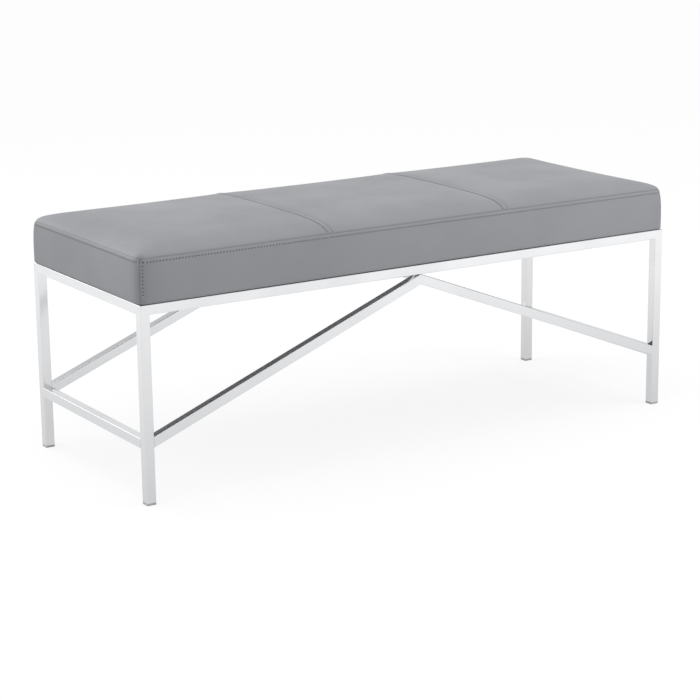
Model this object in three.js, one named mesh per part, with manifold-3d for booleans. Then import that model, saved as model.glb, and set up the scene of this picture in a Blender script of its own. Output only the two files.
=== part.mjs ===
// A luggage bench: an upholstered seat bolted to a welded frame of square tube.
// Millimetres, +Z up, +X along the bench, the front is -Y. The origin is on the floor, under the middle.

import * as THREE from 'three';
import { mergeVertices } from 'three/addons/utils/BufferGeometryUtils.js';
import Module from 'manifold-3d';

// Frame
const frameLength = 1209;
const frameWidth = 459;
const frameHeight = 375;
const tubeSize = 19;
const tubeWall = 1.5;
const tubeCorner = 1.5;
const stretcherLevel = 114.5;
const weldGap = 0.3;

// Foot plugs
const plugHead = 4;
const plugDepth = 14;
const plugWall = 2;
const plugFinDepth = 0.8;
const plugFinThickness = 1.2;
const plugFinCount = 3;

// Seat cover and its padding, heights counted from the top of the frame
const seatOverhang = 5;
const seamRise = 85;
const crownRise = 22;
const crownReach = 36;
const bandBulge = 4;
const bulgeRise = 37;
const sidePull = 2;
const seatCorner = 9;
const bottomRadius = 6;
const topPanelCount = 3;
const seamDip = 2;
const seamDipReach = 12;
const coverThickness = 1.2;
const hemWidth = 22;
const sewingGap = 0.3;

// Seat board and dust cover
const boardThickness = 15;
const dustCoverThickness = 0.8;
const dustCoverMargin = 12;

// Seat fasteners
const tabLength = 40;
const tabReach = 28;
const tabThickness = 3;
const tabCorner = 6;
const tabSpacing = 760;
const boltDiameter = 6;
const boltHeadDiameter = 11;
const boltHeadHeight = 3.4;
const boltSocketAcross = 4;
const boltSocketDepth = 2;
const washerDiameter = 14;
const washerThickness = 1.5;
const teeNutFlangeDiameter = 19;
const teeNutFlangeThickness = 1.5;
const teeNutBarrelDiameter = 8.6;
const teeNutBarrelLength = 9;
const fitGap = 0.3;

// Fineness of round forms
const roundSides = 16;
const cornerSteps = 2;
const domeSteps = 4;
const bandRings = 4;
const bottomRings = 2;
const crownStepGrowth = 1.8;

// Levels and half sizes that follow from the sizes above
const halfLength = frameLength / 2;
const halfWidth = frameWidth / 2;
const tubeInside = tubeSize - 2 * tubeWall;
const seatHalfLength = halfLength + seatOverhang;
const seatHalfWidth = halfWidth + seatOverhang;
const dustCoverBottom = frameHeight + fitGap;
const seatBottom = dustCoverBottom + dustCoverThickness + fitGap;
const seamLevel = frameHeight + seamRise;
const boardBottom = seatBottom + coverThickness + fitGap;
const boardTop = boardBottom + boardThickness;
const panelLength = (2 * seatHalfLength) / topPanelCount;
const farAway = 2 * (frameLength + frameWidth + frameHeight);

// Finishes
const finish = (color, roughness, metalness) =>
  new THREE.MeshStandardMaterial({ color, roughness, metalness, flatShading: true });
const polishedSteel = finish(0xdcdee0, 0.16, 1);
const zincSteel = finish(0xb4b8bc, 0.35, 1);
const greyLeatherette = finish(0x8c8e92, 0.5, 0);
const paleFoam = finish(0xe8dfc0, 0.95, 0);
const plywood = finish(0xc8a97c, 0.75, 0);
const greyPlastic = finish(0xa9abad, 0.5, 0);
const greyFelt = finish(0x6a6b6e, 0.95, 0);

// Closed geometry to a solid that can be cut, without the slivers that close up when points merge, and back
const wasm = await Module();
wasm.setup();

function solidOf(geometry) {
  const bare = geometry.clone();
  bare.deleteAttribute('normal');
  bare.deleteAttribute('uv');
  const merged = mergeVertices(bare);
  const corners = merged.index.array;
  const triangles = [];
  for (let at = 0; at < corners.length; at += 3) {
    const [a, b, c] = corners.slice(at, at + 3);
    if (a !== b && b !== c && c !== a) triangles.push(a, b, c);
  }
  const mesh = new wasm.Mesh({
    numProp: 3,
    vertProperties: new Float32Array(merged.attributes.position.array),
    triVerts: new Uint32Array(triangles),
  });
  return new wasm.Manifold(mesh);
}

function geometryOf(solid) {
  const mesh = solid.getMesh();
  const geometry = new THREE.BufferGeometry();
  geometry.setAttribute('position', new THREE.BufferAttribute(mesh.vertProperties, 3));
  geometry.setIndex(new THREE.BufferAttribute(mesh.triVerts, 1));
  geometry.computeVertexNormals();
  return geometry;
}

// Keeps the side of the plane through point that the normal points to.
function keepSide(solid, point, normal) {
  const away = normal.clone().normalize().negate();
  const block = new THREE.BoxGeometry(farAway, farAway, farAway);
  block.translate(0, 0, farAway / 2);
  block.applyQuaternion(new THREE.Quaternion().setFromUnitVectors(new THREE.Vector3(0, 0, 1), away));
  block.translate(point.x, point.y, point.z);
  return solid.subtract(solidOf(block));
}

function boxBetween(low, high) {
  const size = new THREE.Vector3().subVectors(high, low);
  const box = new THREE.BoxGeometry(size.x, size.y, size.z);
  box.translate((low.x + high.x) / 2, (low.y + high.y) / 2, (low.z + high.z) / 2);
  return box;
}

// A rectangle about the origin with round corners
function roundedRectangle(width, height, radius) {
  const x = width / 2;
  const y = height / 2;
  const outline = new THREE.Shape();
  outline.moveTo(radius - x, -y);
  outline.lineTo(x - radius, -y);
  outline.absarc(x - radius, radius - y, radius, -Math.PI / 2, 0, false);
  outline.lineTo(x, y - radius);
  outline.absarc(x - radius, y - radius, radius, 0, Math.PI / 2, false);
  outline.lineTo(radius - x, y);
  outline.absarc(radius - x, y - radius, radius, Math.PI / 2, Math.PI, false);
  outline.lineTo(-x, radius - y);
  outline.absarc(radius - x, radius - y, radius, Math.PI, 1.5 * Math.PI, false);
  return outline;
}

function extrude(shape, depth) {
  return new THREE.ExtrudeGeometry(shape, { depth, bevelEnabled: false, curveSegments: cornerSteps });
}

// A round solid about +Z from its half section, which starts and ends on the axis or closes on itself
function turned(points) {
  const profile = points.map(([radius, z]) => new THREE.Vector2(radius, z));
  const geometry = new THREE.LatheGeometry(profile, roundSides);
  return geometry.rotateX(Math.PI / 2);
}

function ring(outerRadius, innerRadius, low, high) {
  return turned([
    [innerRadius, low],
    [outerRadius, low],
    [outerRadius, high],
    [innerRadius, high],
    [innerRadius, low],
  ]);
}

function rod(radius, low, high) {
  return turned([
    [0, low],
    [radius, low],
    [radius, high],
    [0, high],
  ]);
}

// Drills upright round holes through a solid at each of the places.
function drill(solid, places, radius, low = -farAway, high = farAway) {
  let drilled = solid;
  for (const { x, y } of places) {
    drilled = drilled.subtract(solidOf(rod(radius, low, high).translate(x, y, 0)));
  }
  return drilled;
}

const bench = new THREE.Group();

function addPart(group, name, geometry, material) {
  const mesh = new THREE.Mesh(geometry, material);
  mesh.name = name;
  group.add(mesh);
  return mesh;
}

const ends = [
  ['left', -1],
  ['right', 1],
];
const sides = [
  ['front', -1],
  ['rear', 1],
];

// A square tube from one point to another, with two of its sides square to the width or length of the bench
function tubeBetween(from, to) {
  const run = new THREE.Vector3().subVectors(to, from);
  const along = run.clone().normalize();
  const across = Math.abs(along.y) > 0.5 ? new THREE.Vector3(1, 0, 0) : new THREE.Vector3(0, 1, 0);
  const upright = new THREE.Vector3().crossVectors(across, along);
  const turn = new THREE.Matrix4().makeBasis(upright, across, along).setPosition(from);
  const outside = extrude(roundedRectangle(tubeSize, tubeSize, tubeCorner), run.length());
  const bore = new THREE.BoxGeometry(tubeInside, tubeInside, 2 * run.length());
  bore.translate(0, 0, run.length() / 2);
  return solidOf(outside.applyMatrix4(turn)).subtract(solidOf(bore.applyMatrix4(turn)));
}

// Three tubes meet in each upper corner of the frame. Each keeps the part of the corner cube that lies
// further in along its own axis than along the other two.
function mitreCorner(solid, endSign, sideSign, axis) {
  const corner = new THREE.Vector3(endSign * halfLength, sideSign * halfWidth, frameHeight);
  const inward = {
    x: new THREE.Vector3(-endSign, 0, 0),
    y: new THREE.Vector3(0, -sideSign, 0),
    z: new THREE.Vector3(0, 0, -1),
  };
  let cut = solid;
  for (const other of ['x', 'y', 'z'].filter((name) => name !== axis)) {
    const normal = new THREE.Vector3().subVectors(inward[axis], inward[other]).normalize();
    cut = keepSide(cut, corner.clone().addScaledVector(normal, weldGap / 2), normal);
  }
  return cut;
}

const legX = halfLength - tubeSize / 2;
const legY = halfWidth - tubeSize / 2;
const railZ = frameHeight - tubeSize / 2;
const legBottom = plugHead + fitGap;

const frame = new THREE.Group();
bench.add(frame);

// Legs
for (const [side, sideSign] of sides) {
  for (const [end, endSign] of ends) {
    const foot = new THREE.Vector3(endSign * legX, sideSign * legY, legBottom);
    const head = foot.clone().setZ(frameHeight);
    const leg = mitreCorner(tubeBetween(foot, head), endSign, sideSign, 'z');
    addPart(frame, `leg_${side}_${end}`, geometryOf(leg), polishedSteel);
  }
}

// Long top rails
for (const [side, sideSign] of sides) {
  const from = new THREE.Vector3(-halfLength, sideSign * legY, railZ);
  const to = new THREE.Vector3(halfLength, sideSign * legY, railZ);
  let rail = tubeBetween(from, to);
  for (const [, endSign] of ends) rail = mitreCorner(rail, endSign, sideSign, 'x');
  addPart(frame, `top_rail_${side}`, geometryOf(rail), polishedSteel);
}

// Short top rails and end stretchers
for (const [end, endSign] of ends) {
  const from = new THREE.Vector3(endSign * legX, -halfWidth, railZ);
  const to = new THREE.Vector3(endSign * legX, halfWidth, railZ);
  let rail = tubeBetween(from, to);
  for (const [, sideSign] of sides) rail = mitreCorner(rail, endSign, sideSign, 'y');
  addPart(frame, `top_rail_${end}`, geometryOf(rail), polishedSteel);

  const reach = halfWidth - tubeSize - weldGap;
  const near = new THREE.Vector3(endSign * legX, -reach, stretcherLevel);
  const far = new THREE.Vector3(endSign * legX, reach, stretcherLevel);
  addPart(frame, `end_stretcher_${end}`, geometryOf(tubeBetween(near, far)), polishedSteel);
}

// Braces. The axis of each starts where the axes of leg and stretcher cross, and its upper face meets the
// underside of the rail at mid length.
const railUnderside = frameHeight - tubeSize;
const braceClimb = railUnderside - stretcherLevel;
const braceSlope = Math.acos(tubeSize / 2 / Math.hypot(braceClimb, legX)) - Math.atan2(legX, braceClimb);
for (const [side, sideSign] of sides) {
  for (const [end, endSign] of ends) {
    const along = new THREE.Vector3(-endSign * Math.cos(braceSlope), 0, Math.sin(braceSlope));
    const start = new THREE.Vector3(endSign * legX, sideSign * legY, stretcherLevel);
    const top = start.clone().addScaledVector(along, legX / Math.cos(braceSlope) + tubeSize);
    let brace = tubeBetween(start.clone().addScaledVector(along, -tubeSize), top);
    const legFace = new THREE.Vector3(endSign * (halfLength - tubeSize - weldGap), 0, 0);
    brace = keepSide(brace, legFace, new THREE.Vector3(-endSign, 0, 0));
    const middle = new THREE.Vector3((endSign * weldGap) / 2, 0, 0);
    brace = keepSide(brace, middle, new THREE.Vector3(endSign, 0, 0));
    const underRail = new THREE.Vector3(0, 0, railUnderside - weldGap);
    brace = keepSide(brace, underRail, new THREE.Vector3(0, 0, -1));
    addPart(frame, `brace_${side}_${end}`, geometryOf(brace), polishedSteel);
  }
}

// Foot plugs: a head as wide as the tube, and a hollow shank with fins that grip the tube's inside
function footPlug() {
  const finWidth = tubeInside - 2 * fitGap;
  const shankWidth = finWidth - 2 * plugFinDepth;
  const shankTop = plugHead + plugDepth;
  const half = shankWidth / 2;
  const head = extrude(roundedRectangle(tubeSize, tubeSize, tubeCorner), plugHead);
  const shank = boxBetween(new THREE.Vector3(-half, -half, 0), new THREE.Vector3(half, half, shankTop));
  let plug = solidOf(head).add(solidOf(shank));
  const finStep = plugDepth / plugFinCount;
  for (let fin = 1; fin <= plugFinCount; fin += 1) {
    const blade = new THREE.BoxGeometry(finWidth, finWidth, plugFinThickness);
    blade.translate(0, 0, plugHead + (fin - 0.5) * finStep);
    plug = plug.add(solidOf(blade));
  }
  const open = half - plugWall;
  const hollow = boxBetween(new THREE.Vector3(-open, -open, plugHead), new THREE.Vector3(open, open, farAway));
  return geometryOf(plug.subtract(solidOf(hollow)));
}

const plugGeometry = footPlug();
for (const [side, sideSign] of sides) {
  for (const [end, endSign] of ends) {
    const plug = addPart(frame, `foot_plug_${side}_${end}`, plugGeometry, greyPlastic);
    plug.position.set(endSign * legX, sideSign * legY, 0);
  }
}

// The form of the upholstery. The side bands bulge between the hem and the top edge seam.
function bandInset(z) {
  const share = (z - frameHeight - bulgeRise) / (seamRise - bulgeRise);
  return bandBulge * share * share;
}

// The distance to the nearest edges, eased where two edges are equally near
function easedDistance(first, second) {
  if (first <= 0 || second <= 0) return 0;
  return 1 / Math.cbrt(1 / first ** 3 + 1 / second ** 3);
}

// Where the top is divided, and the places along one half of it that its form needs
const seamPlaces = [];
for (let seam = 1; seam < topPanelCount; seam += 1) seamPlaces.push(seam * panelLength - seatHalfLength);

function stepsFromEdge(half) {
  const steps = [0];
  for (let step = seatCorner; step < half; step *= crownStepGrowth) steps.push(step);
  return steps;
}

// Stations as shares of the half size, in order, with those that fall together taken once
function inOrder(stations, half) {
  const sorted = stations.sort((a, b) => a - b);
  return sorted.filter((place, at) => at === 0 || place - sorted[at - 1] > sewingGap).map((place) => place / half);
}

function lengthStations() {
  const stations = [0];
  for (const step of stepsFromEdge(panelLength / 2)) {
    stations.push(seatHalfLength - step, step - seatHalfLength);
  }
  for (const seam of seamPlaces) {
    for (const share of [-2, -1, -0.5, 0, 0.5, 1, 2]) stations.push(seam + share * seamDipReach);
  }
  return inOrder(stations, seatHalfLength);
}

function widthStations() {
  const stations = [0];
  for (const step of stepsFromEdge(seatHalfWidth)) {
    stations.push(seatHalfWidth - step, step - seatHalfWidth);
  }
  return inOrder(stations, seatHalfWidth);
}

// The upholstered form, drawn in all round by inset: rings up the sides, and a crowned top across them
function cushion(inset) {
  const columns = lengthStations();
  const rows = widthStations();
  const lastColumn = columns.length - 1;
  const lastRow = rows.length - 1;
  const low = seatBottom + inset;
  const high = seamLevel - inset;
  const edgeRadius = bottomRadius - inset;
  const cornerPull = Math.max(seatCorner - inset, 0) * (1 - Math.SQRT1_2);

  const levels = [];
  for (let step = 0; step <= bottomRings; step += 1) {
    const angle = (step / bottomRings) * (Math.PI / 2);
    const z = low + edgeRadius * (1 - Math.cos(angle));
    levels.push({ z, inset: inset + bandInset(z) + edgeRadius * (1 - Math.sin(angle)) });
  }
  const bandStart = low + edgeRadius;
  for (let step = 1; step <= bandRings; step += 1) {
    const z = bandStart + ((high - bandStart) * step) / bandRings;
    levels.push({ z, inset: inset + bandInset(z) });
  }

  const points = [];
  const place = (column, row, levelInset, z) => {
    const u = columns[column];
    const v = rows[row];
    const pulled = Math.abs(u) === 1 && Math.abs(v) === 1 ? cornerPull : 0;
    const x = u * (seatHalfLength - levelInset - sidePull * (1 - v * v) - pulled);
    const y = v * (seatHalfWidth - levelInset - sidePull * (1 - u * u) - pulled);
    points.push(new THREE.Vector3(x, y, z));
    return points.length - 1;
  };

  const outline = [];
  for (let column = 0; column < lastColumn; column += 1) outline.push([column, 0]);
  for (let row = 0; row < lastRow; row += 1) outline.push([lastColumn, row]);
  for (let column = lastColumn; column > 0; column -= 1) outline.push([column, lastRow]);
  for (let row = lastRow; row > 0; row -= 1) outline.push([0, row]);

  const rings = levels.map((level) => outline.map(([column, row]) => place(column, row, level.inset, level.z)));
  const faces = [];
  for (let level = 0; level + 1 < rings.length; level += 1) {
    for (let spot = 0; spot < outline.length; spot += 1) {
      const next = (spot + 1) % outline.length;
      faces.push(rings[level][spot], rings[level][next], rings[level + 1][next]);
      faces.push(rings[level][spot], rings[level + 1][next], rings[level + 1][spot]);
    }
  }

  const floor = rings[0].map((index) => new THREE.Vector2(points[index].x, points[index].y));
  for (const [a, b, c] of THREE.ShapeUtils.triangulateShape(floor, [])) {
    faces.push(rings[0][a], rings[0][c], rings[0][b]);
  }

  const topRing = rings[rings.length - 1];
  const topInset = levels[levels.length - 1].inset;
  const top = columns.map(() => []);
  outline.forEach(([column, row], spot) => {
    top[column][row] = topRing[spot];
  });
  for (let column = 1; column < lastColumn; column += 1) {
    for (let row = 1; row < lastRow; row += 1) {
      const fromEnd = (1 - Math.abs(columns[column])) * seatHalfLength;
      const fromSide = (1 - Math.abs(rows[row])) * seatHalfWidth;
      const fullness = 1 - Math.exp(-easedDistance(fromEnd, fromSide) / crownReach);
      const x = columns[column] * seatHalfLength;
      const dips = seamPlaces.map((seam) => Math.exp(-(((x - seam) / seamDipReach) ** 2)));
      const dip = seamDip * dips.reduce((sum, value) => sum + value, 0);
      top[column][row] = place(column, row, topInset, high + (crownRise - dip) * fullness);
    }
  }
  for (let column = 0; column < lastColumn; column += 1) {
    for (let row = 0; row < lastRow; row += 1) {
      const [a, b] = [top[column][row], top[column + 1][row]];
      const [d, c] = [top[column][row + 1], top[column + 1][row + 1]];
      faces.push(a, b, c, a, c, d);
    }
  }

  const geometry = new THREE.BufferGeometry().setFromPoints(points);
  geometry.setIndex(faces);
  return solidOf(geometry);
}

const seat = new THREE.Group();
bench.add(seat);

// Seat cover: a skin of even thickness, open under the board inside its hem
const coverSkin = cushion(0).subtract(cushion(coverThickness));
const upward = new THREE.Vector3(0, 0, 1);
const downward = new THREE.Vector3(0, 0, -1);

// Top panels between the cross seams
const topSkin = keepSide(coverSkin, new THREE.Vector3(0, 0, seamLevel + sewingGap / 2), upward);
const panelNames = ['left', 'middle', 'right'];
for (let panel = 0; panel < topPanelCount; panel += 1) {
  const panelStart = panel * panelLength - seatHalfLength;
  const fromX = new THREE.Vector3(panelStart + sewingGap / 2, 0, 0);
  const toX = new THREE.Vector3(panelStart + panelLength - sewingGap / 2, 0, 0);
  let cut = topSkin;
  if (panel > 0) cut = keepSide(cut, fromX, new THREE.Vector3(1, 0, 0));
  if (panel < topPanelCount - 1) cut = keepSide(cut, toX, new THREE.Vector3(-1, 0, 0));
  addPart(seat, `top_panel_${panelNames[panel] ?? panel}`, geometryOf(cut), greyLeatherette);
}

// Side bands, turned under the board and divided at the corner seams
const hemWindow = boxBetween(
  new THREE.Vector3(hemWidth - seatHalfLength, hemWidth - seatHalfWidth, seatBottom - coverThickness),
  new THREE.Vector3(seatHalfLength - hemWidth, seatHalfWidth - hemWidth, boardBottom),
);
const belowSeam = keepSide(coverSkin, new THREE.Vector3(0, 0, seamLevel - sewingGap / 2), downward);
const bandSkin = belowSeam.subtract(solidOf(hemWindow));

function cornerSeam(solid, endSign, sideSign, keepLongSide) {
  const normal = new THREE.Vector3(-endSign, sideSign, 0).normalize();
  if (!keepLongSide) normal.negate();
  const corner = new THREE.Vector3(endSign * seatHalfLength, sideSign * seatHalfWidth, 0);
  return keepSide(solid, corner.addScaledVector(normal, sewingGap / 2), normal);
}

for (const [side, sideSign] of sides) {
  let band = keepSide(bandSkin, new THREE.Vector3(), new THREE.Vector3(0, sideSign, 0));
  for (const [, endSign] of ends) band = cornerSeam(band, endSign, sideSign, true);
  addPart(seat, `side_band_${side}`, geometryOf(band), greyLeatherette);
}
for (const [end, endSign] of ends) {
  let band = keepSide(bandSkin, new THREE.Vector3(), new THREE.Vector3(endSign, 0, 0));
  for (const [, sideSign] of sides) band = cornerSeam(band, endSign, sideSign, false);
  addPart(seat, `side_band_${end}`, geometryOf(band), greyLeatherette);
}

// Foam block inside the cover, on the board
const foamBottom = new THREE.Vector3(0, 0, boardTop + fitGap);
const foam = keepSide(cushion(coverThickness + fitGap), foamBottom, upward);
addPart(seat, 'seat_foam', geometryOf(foam), paleFoam);

// Places of the seat fasteners, each with the turn that points its tab from the rail to the middle
const tabX = halfLength - tubeSize - tabReach / 2;
const tabY = halfWidth - tubeSize - tabReach / 2;
const fastenings = [];
for (const [side, sideSign] of sides) {
  for (const [end, endSign] of ends) {
    const x = (endSign * tabSpacing) / 2;
    fastenings.push({ name: `${side}_${end}`, x, y: sideSign * tabY, turn: sideSign < 0 ? 0 : Math.PI });
  }
}
for (const [end, endSign] of ends) {
  fastenings.push({ name: end, x: endSign * tabX, y: 0, turn: (endSign * Math.PI) / 2 });
}

// Levels of the stack of fastenings
const boltRadius = boltDiameter / 2;
const holeRadius = boltRadius + fitGap;
const tabBottom = frameHeight - tabThickness;
const washerTop = tabBottom - fitGap;
const washerBottom = washerTop - washerThickness;
const boltHeadTop = washerBottom - fitGap;
const flangeTop = boardTop - fitGap;
const flangeBottom = flangeTop - teeNutFlangeThickness;
const barrelBottom = flangeBottom - teeNutBarrelLength;
const barrelRadius = teeNutBarrelDiameter / 2;
const flangeRadius = teeNutFlangeDiameter / 2;

// Seat board: its edge is rounded to lie inside the fold of the cover, with a stepped hole for each tee nut
const foldRadius = Math.min(bottomRadius - coverThickness, boardThickness / 2 - fitGap);
const boardInset = bandInset(seatBottom) + sidePull + coverThickness + 2 * fitGap;
const boardOutline = roundedRectangle(
  2 * (seatHalfLength - boardInset - foldRadius),
  2 * (seatHalfWidth - boardInset - foldRadius),
  seatCorner,
);
const boardBlank = new THREE.ExtrudeGeometry(boardOutline, {
  depth: boardThickness - 2 * foldRadius,
  bevelThickness: foldRadius,
  bevelSize: foldRadius,
  bevelSegments: cornerSteps,
  curveSegments: cornerSteps,
});
boardBlank.translate(0, 0, boardBottom + foldRadius);
const barrelHoles = drill(solidOf(boardBlank), fastenings, barrelRadius + fitGap);
const board = drill(barrelHoles, fastenings, flangeRadius + fitGap, flangeBottom - fitGap);
addPart(seat, 'seat_board', geometryOf(board), plywood);

// Dust cover between the frame and the hem
const dustCoverShape = roundedRectangle(
  frameLength - 2 * dustCoverMargin,
  frameWidth - 2 * dustCoverMargin,
  seatCorner,
);
const dustSheet = extrude(dustCoverShape, dustCoverThickness).translate(0, 0, dustCoverBottom);
const dustCover = drill(solidOf(dustSheet), fastenings, holeRadius);
addPart(seat, 'dust_cover', geometryOf(dustCover), greyFelt);

// Seat tab: a plate welded to the rail, flush with its top, with the two free corners rounded
function seatTab() {
  const x = tabLength / 2;
  const y = tabReach / 2;
  const plate = new THREE.Shape();
  plate.moveTo(-x, weldGap - y);
  plate.lineTo(x, weldGap - y);
  plate.lineTo(x, y - tabCorner);
  plate.absarc(x - tabCorner, y - tabCorner, tabCorner, 0, Math.PI / 2, false);
  plate.lineTo(tabCorner - x, y);
  plate.absarc(tabCorner - x, y - tabCorner, tabCorner, Math.PI / 2, Math.PI, false);
  const blank = extrude(plate, tabThickness).translate(0, 0, tabBottom);
  return geometryOf(drill(solidOf(blank), [{ x: 0, y: 0 }], holeRadius));
}

// Bolt with a domed head and a hexagon socket, standing head down
function seatBolt() {
  const headRadius = boltHeadDiameter / 2;
  const headBottom = boltHeadTop - boltHeadHeight;
  const socketRadius = boltSocketAcross / Math.sqrt(3);
  const section = [];
  for (let step = 0; step <= domeSteps; step += 1) {
    const angle = (step / domeSteps) * (Math.PI / 2);
    section.push([headRadius * Math.sin(angle), boltHeadTop - boltHeadHeight * Math.cos(angle)]);
  }
  section.push([boltRadius, boltHeadTop], [boltRadius, flangeBottom], [0, flangeBottom]);
  const body = turned(section);
  const socket = new THREE.CylinderGeometry(socketRadius, socketRadius, 2 * boltSocketDepth, 6);
  socket.rotateX(Math.PI / 2).translate(0, 0, headBottom);
  return geometryOf(solidOf(body).subtract(solidOf(socket)));
}

// Tee nut: a threaded barrel with a flange, sunk into the top of the board
function teeNut() {
  return turned([
    [holeRadius, barrelBottom],
    [barrelRadius, barrelBottom],
    [barrelRadius, flangeBottom],
    [flangeRadius, flangeBottom],
    [flangeRadius, flangeTop],
    [holeRadius, flangeTop],
    [holeRadius, barrelBottom],
  ]);
}

const fasteningPieces = [
  ['seat_tab', seatTab(), polishedSteel],
  ['seat_bolt', seatBolt(), zincSteel],
  ['washer', ring(washerDiameter / 2, holeRadius, washerBottom, washerTop), zincSteel],
  ['tee_nut', teeNut(), zincSteel],
];
for (const { name, x, y, turn } of fastenings) {
  const fastening = new THREE.Group();
  fastening.position.set(x, y, 0);
  fastening.rotation.z = turn;
  bench.add(fastening);
  for (const [piece, geometry, material] of fasteningPieces) {
    addPart(fastening, `${piece}_${name}`, geometry, material);
  }
}

export default bench;
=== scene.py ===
import math

import bmesh
import bpy
from mathutils import Matrix, Vector, noise
from mathutils.bvhtree import BVHTree


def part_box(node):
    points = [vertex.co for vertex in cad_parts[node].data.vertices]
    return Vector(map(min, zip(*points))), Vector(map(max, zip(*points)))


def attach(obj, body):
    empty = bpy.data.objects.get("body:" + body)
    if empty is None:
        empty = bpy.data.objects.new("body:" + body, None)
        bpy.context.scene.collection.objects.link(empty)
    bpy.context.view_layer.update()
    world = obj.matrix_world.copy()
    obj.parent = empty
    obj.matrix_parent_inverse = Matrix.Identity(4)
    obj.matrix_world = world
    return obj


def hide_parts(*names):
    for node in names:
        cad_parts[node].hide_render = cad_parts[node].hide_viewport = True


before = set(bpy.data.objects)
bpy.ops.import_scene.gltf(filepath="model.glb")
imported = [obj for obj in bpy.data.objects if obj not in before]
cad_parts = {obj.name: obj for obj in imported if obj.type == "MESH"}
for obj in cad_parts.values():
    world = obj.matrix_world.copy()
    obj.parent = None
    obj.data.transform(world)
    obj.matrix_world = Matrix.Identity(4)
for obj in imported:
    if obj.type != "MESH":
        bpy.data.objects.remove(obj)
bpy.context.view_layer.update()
scene = bpy.context.scene
print("frame loaded:", len(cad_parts), "nodes")

ends = {"left": -1, "right": 1}
sides = {"front": -1, "rear": 1}
alongX, alongY, alongZ = range(3)
samePoint = 0.00001  # points closer than this are one
sameLevel = 0.0001  # points closer than this share a line or a level

# Camera at the photograph's place, turned by yaw, pitch and roll
photoCamera = {
    "place": (-2.2482, -3.5385, 1.2352),
    "yaw": 32.203,
    "pitch": 14.423,
    "roll": -0.688,
    "lens": 109.17,
    "sensor": 36.0,
    "farthest": 200.0,
}


def setCamera(view):
    data = bpy.data.cameras.new("photoCamera")
    data.lens = view["lens"]
    data.sensor_width = view["sensor"]
    data.clip_end = view["farthest"]
    camera = bpy.data.objects.new("photoCamera", data)
    scene.collection.objects.link(camera)
    turn = Matrix.Rotation(math.radians(-view["yaw"]), 4, "Z")
    tilt = Matrix.Rotation(math.radians(90.0 - view["pitch"]), 4, "X")
    roll = Matrix.Rotation(math.radians(view["roll"]), 4, "Z")
    camera.matrix_world = Matrix.Translation(view["place"]) @ turn @ tilt @ roll
    scene.camera = camera


setCamera(photoCamera)
print("camera set")

# Places of the Mix node's sockets, for colours and for plain values
colourMix = {"first": 6, "second": 7, "result": 2}
valueMix = {"first": 2, "second": 3, "result": 0}


# Node helpers
def addNode(tree, kind, **settings):
    node = tree.nodes.new(kind)
    for name, value in settings.items():
        setattr(node, name, value)
    return node


def wire(tree, source, target):
    tree.links.new(source, target)


def newGroup(name, sizes):
    group = bpy.data.node_groups.new(name, "ShaderNodeTree")
    group.interface.new_socket("Vector", in_out="INPUT", socket_type="NodeSocketVector")
    for size in sizes:
        group.interface.new_socket(size, in_out="INPUT", socket_type="NodeSocketFloat")
    group.interface.new_socket("Value", in_out="OUTPUT", socket_type="NodeSocketFloat")
    return group, addNode(group, "NodeGroupInput"), addNode(group, "NodeGroupOutput")


def placeGroup(tree, group, point, **sizes):
    node = addNode(tree, "ShaderNodeGroup", node_tree=group)
    wire(tree, point, node.inputs["Vector"])
    for name, value in sizes.items():
        node.inputs[name].default_value = value
    return node.outputs["Value"]


def mapRange(tree, source, fromLow, fromHigh, toLow, toHigh):
    node = addNode(tree, "ShaderNodeMapRange")
    wire(tree, source, node.inputs["Value"])
    limits = {"From Min": fromLow, "From Max": fromHigh, "To Min": toLow, "To Max": toHigh}
    for name, value in limits.items():
        node.inputs[name].default_value = value
    return node.outputs["Result"]


def shareTo(tree, share, low, high):
    return mapRange(tree, share, 0.0, 1.0, low, high)


def joinValues(tree, operation, first, second):
    node = addNode(tree, "ShaderNodeMath", operation=operation)
    wire(tree, first, node.inputs[0])
    wire(tree, second, node.inputs[1])
    return node.outputs[0]


def splitAxes(tree, vector):
    node = addNode(tree, "ShaderNodeSeparateXYZ")
    wire(tree, vector, node.inputs[0])
    return node.outputs


def mixColour(tree, factor, first, second):
    node = addNode(tree, "ShaderNodeMix", data_type="RGBA")
    wire(tree, factor, node.inputs["Factor"])
    for place, value in (("first", first), ("second", second)):
        socket = node.inputs[colourMix[place]]
        if isinstance(value, tuple):
            socket.default_value = (*value, 1.0)
        else:
            wire(tree, value, socket)
    return node.outputs[colourMix["result"]]


def setColour(tree, shader, share, first, second):
    wire(tree, mixColour(tree, share, first, second), shader.inputs["Base Color"])


def setRoughness(tree, shader, share, limits):
    wire(tree, shareTo(tree, share, *limits), shader.inputs["Roughness"])


def addBump(tree, height, shader, strength, distance):
    bump = addNode(tree, "ShaderNodeBump")
    bump.inputs["Strength"].default_value = strength
    bump.inputs["Distance"].default_value = distance
    wire(tree, height, bump.inputs["Height"])
    wire(tree, bump.outputs["Normal"], shader.inputs["Normal"])


def newMaterial(name, metallic=0.0):
    material = bpy.data.materials.new(name)
    material.use_nodes = True
    tree = material.node_tree
    tree.nodes.clear()
    output = addNode(tree, "ShaderNodeOutputMaterial")
    shader = addNode(tree, "ShaderNodeBsdfPrincipled")
    shader.inputs["Metallic"].default_value = metallic
    wire(tree, shader.outputs["BSDF"], output.inputs["Surface"])
    return material, tree, shader


def objectPoint(tree):
    return addNode(tree, "ShaderNodeTexCoord").outputs["Object"]


# Shared effects: soft unevenness and fine lines, with the middle of each noise spread over the full range
sharedEffects = {"mottleSpread": (0.3, 0.7), "lineSpread": (0.35, 0.65), "lineDetail": 2.0}
waveRun = 0.3  # a wave texture of scale 1 repeats after about this many metres


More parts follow.
